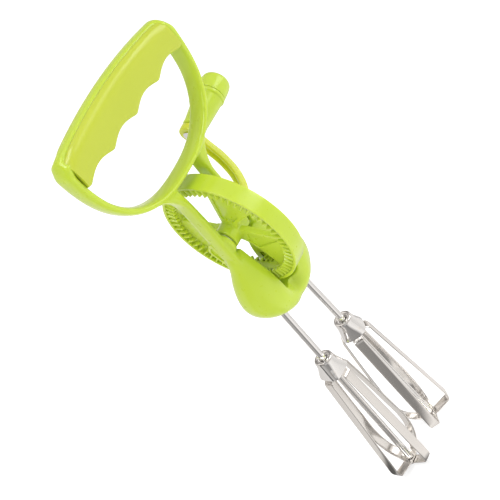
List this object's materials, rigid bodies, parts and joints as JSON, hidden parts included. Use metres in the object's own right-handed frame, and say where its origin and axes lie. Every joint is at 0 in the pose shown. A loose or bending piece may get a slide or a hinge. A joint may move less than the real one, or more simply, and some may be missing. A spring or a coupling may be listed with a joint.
{
  "type": "egg beater",
  "caption": "Hand-cranked kitchen egg beater: a D-shaped handle over a large crown gear whose pinions spin interleaving strip beaters in opposite directions.",
  "frame": {"origin": "middle of the grip, on the egg beater's middle plane", "axes": "+Z along the handle away from the beaters, +X along the gear's axle towards the crank, +Y towards the back"},
  "size_m": [0.1166, 0.072, 0.2991],
  "materials": {
    "lime_plastic": "glossy moulded, translucent in its thin walls",
    "grip_plastic": "satin moulded",
    "nylon": "matt moulded",
    "steel": "bright polished stainless steel"
  },
  "bodies": {
    "frame": {"handle_frame": "lime_plastic", "grip_insert": "grip_plastic", "shaft_bush_near": "nylon", "shaft_bush_far": "nylon"},
    "crank": {"drive_gear": "lime_plastic", "axle": "steel", "crank_arm": "lime_plastic", "crank_screw": "steel", "knob_pin": "steel", "gear_washer_near": "nylon", "gear_washer_far": "nylon", "crank_washer": "nylon"},
    "knob": {"knob": "lime_plastic", "knob_cap": "lime_plastic"},
    "beater_near": {"shaft_near": "steel", "pinion_near": "lime_plastic", "retaining_clip_near": "steel", "wing_cap_near": "steel", "wing_strip_a_near": "steel", "wing_strip_b_near": "steel", "end_rivet_near": "steel"},
    "beater_far": {"shaft_far": "steel", "pinion_far": "lime_plastic", "retaining_clip_far": "steel", "wing_cap_far": "steel", "wing_strip_a_far": "steel", "wing_strip_b_far": "steel", "end_rivet_far": "steel"}
  },
  "joints": [
    {"name": "crank_turn", "type": "hinge", "parent": "frame", "child": "crank", "pos_m": [0, 0, -0.093], "axis": [1, 0, 0], "continuous": true},
    {"name": "knob_spin", "type": "hinge", "parent": "crank", "child": "knob", "pos_m": [0.04497, 0.02395, -0.0588], "axis": [0.9962, 0.05, 0.0714], "continuous": true},
    {"name": "beater_near_spin", "type": "hinge", "parent": "frame", "child": "beater_near", "pos_m": [-0.0099, 0, -0.093], "axis": [0.0279, 0, 0.9996], "continuous": true},
    {"name": "beater_far_spin", "type": "hinge", "parent": "frame", "child": "beater_far", "pos_m": [0.0099, 0, -0.093], "axis": [-0.0279, 0, 0.9996], "continuous": true}
  ],
  "couplings": [
    {"joint": "beater_near_spin", "follows": "crank_turn", "ratio": 5},
    {"joint": "beater_far_spin", "follows": "crank_turn", "ratio": -5}
  ]
}
